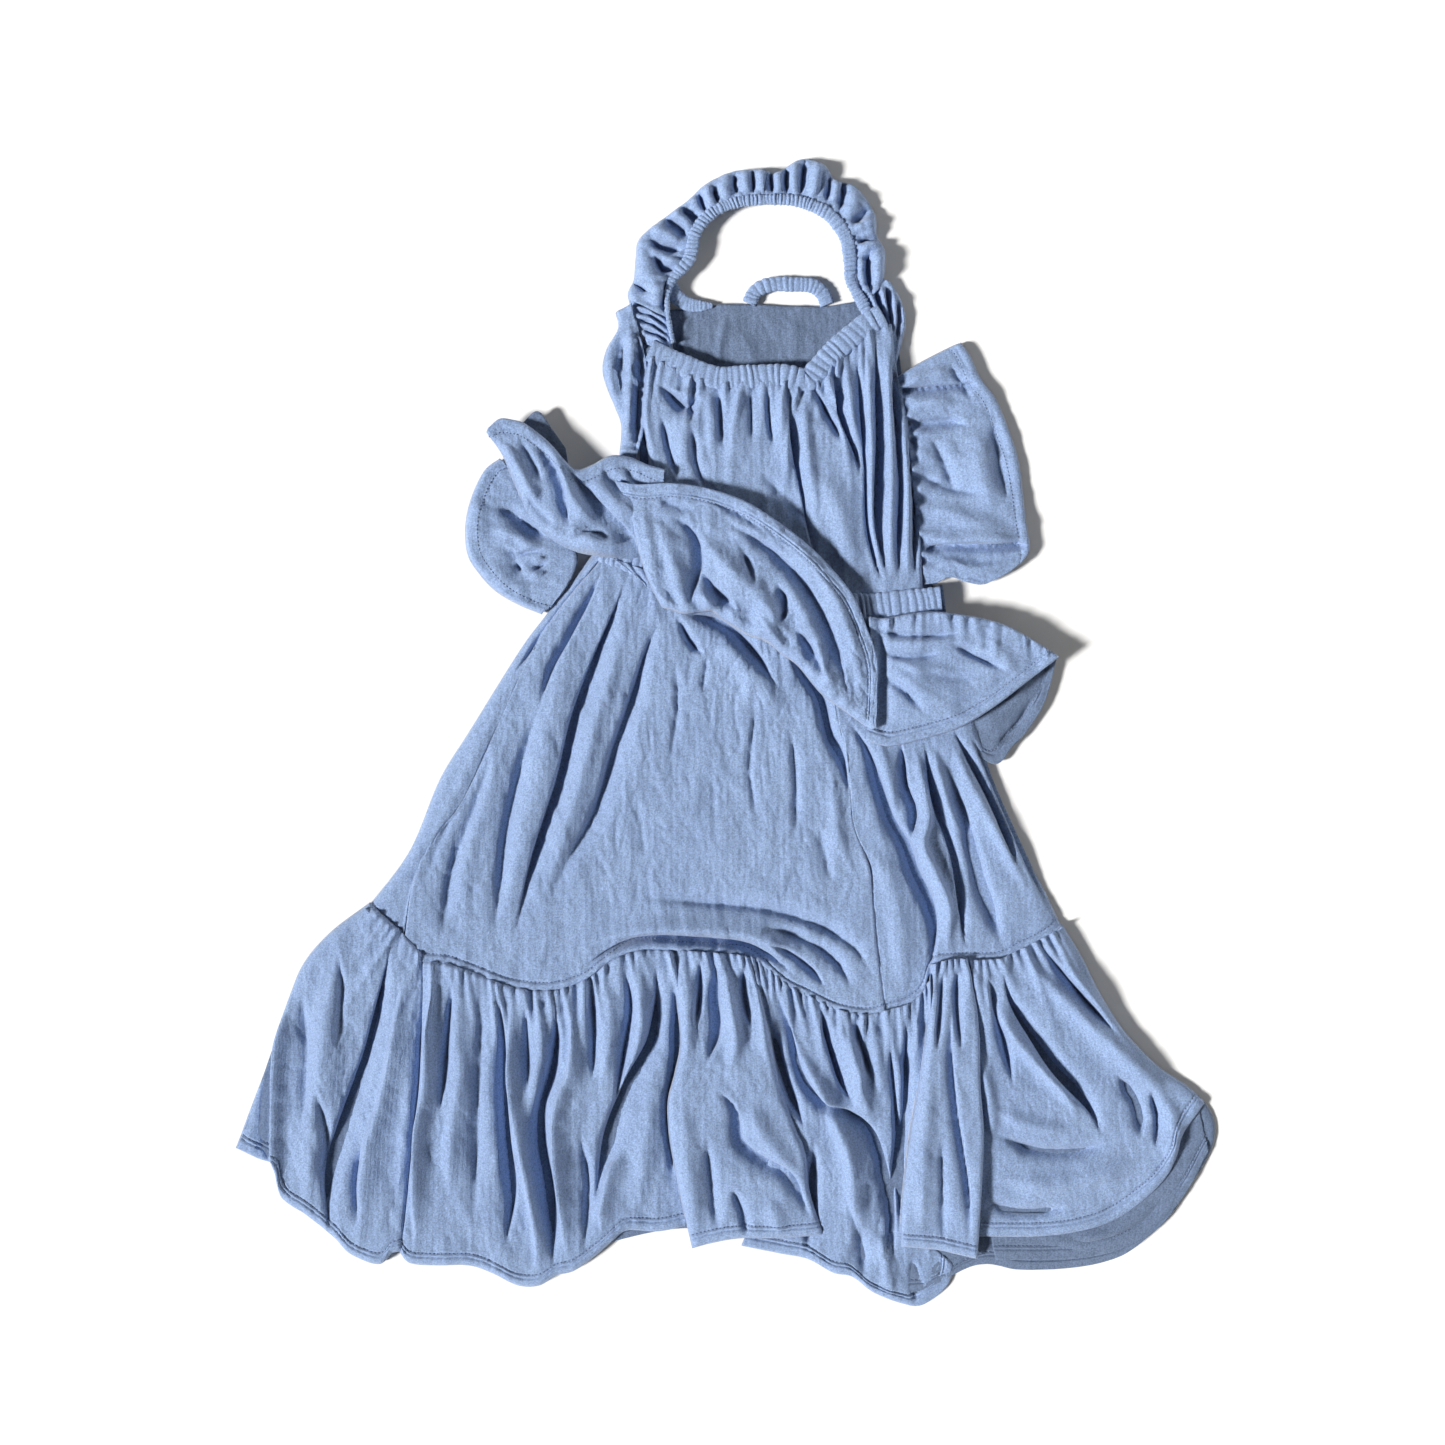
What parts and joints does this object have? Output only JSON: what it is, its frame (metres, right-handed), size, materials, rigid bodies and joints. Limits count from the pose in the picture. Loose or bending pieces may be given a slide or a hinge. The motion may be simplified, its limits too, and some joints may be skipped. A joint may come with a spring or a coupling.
{
  "type": "ruffled pinafore dress",
  "caption": "Soft knit pinafore dress lying flat, with ruffled elastic neck straps, gathered waist, peplum, flutters and a deep hem ruffle.",
  "frame": {"origin": "middle of the bounding box on the surface that the dress lies on", "axes": "+Y up the dress to the neck straps, +Z away from the surface, out of the front of the dress, +X across it"},
  "size_m": [0.879, 1.0274, 0.0354],
  "materials": {
    "jersey": "soft matte cotton jersey, dusty blue",
    "gathered_jersey": "the same jersey gathered over elastic",
    "shaded_jersey": "the same jersey, inner or lower face",
    "elastic": "knitted elastic tape"
  },
  "bodies": {
    "dress": {"back_strap_casing": "gathered_jersey", "back_strap_elastic": "elastic", "back_strap_end_casing": "gathered_jersey", "back_strap_end_elastic": "elastic", "bodice_back": "shaded_jersey", "bodice_front": "jersey", "flutter_left": "jersey", "hem_ruffle_back": "shaded_jersey", "hem_ruffle_centre": "jersey", "hem_ruffle_centre_left": "jersey", "hem_ruffle_front_fold": "jersey", "hem_ruffle_left": "jersey", "hem_ruffle_right": "jersey", "hem_ruffle_under_fold": "jersey", "neck_casing_front": "gathered_jersey", "neck_elastic_front": "elastic", "peplum_back": "shaded_jersey", "peplum_left_lobe": "jersey", "peplum_left_tongue": "jersey", "skirt_back": "shaded_jersey", "skirt_front_centre": "jersey", "skirt_side_left": "jersey", "skirt_side_right": "jersey", "strap_left_foot": "gathered_jersey", "strap_right_foot": "gathered_jersey", "waist_casing_back": "gathered_jersey", "waist_casing_front": "gathered_jersey", "waist_elastic_back": "elastic", "waist_elastic_front": "elastic"},
    "neck_straps": {"strap_left_casing": "gathered_jersey", "strap_left_elastic": "elastic", "strap_left_ruffle": "jersey", "strap_right_casing": "gathered_jersey", "strap_right_elastic": "elastic", "strap_right_ruffle": "jersey"},
    "right_flutter": {"flutter_right": "jersey"},
    "right_peplum": {"peplum_right": "jersey"},
    "turned_up_peplum": {"peplum_flap": "jersey"}
  },
  "joints": [
    {"name": "strap_fold", "type": "hinge", "parent": "dress", "child": "neck_straps", "pos_m": [0.0335, 0.4048, 0.021], "axis": [1, 0, 0], "range_deg": [0, 150]},
    {"name": "flutter_lift", "type": "hinge", "parent": "dress", "child": "right_flutter", "pos_m": [0.1568, 0.3193, 0.012], "axis": [0.1287, -0.9917, 0], "range_deg": [0, 110]},
    {"name": "peplum_lift", "type": "hinge", "parent": "dress", "child": "right_peplum", "pos_m": [0.17, 0.1053, 0.0285], "axis": [-1, 0, 0], "range_deg": [0, 100]},
    {"name": "peplum_turn", "type": "hinge", "parent": "dress", "child": "turned_up_peplum", "pos_m": [-0.0555, 0.1093, 0.0355], "axis": [0.861, -0.5086, 0], "range_deg": [0, 150]}
  ]
}
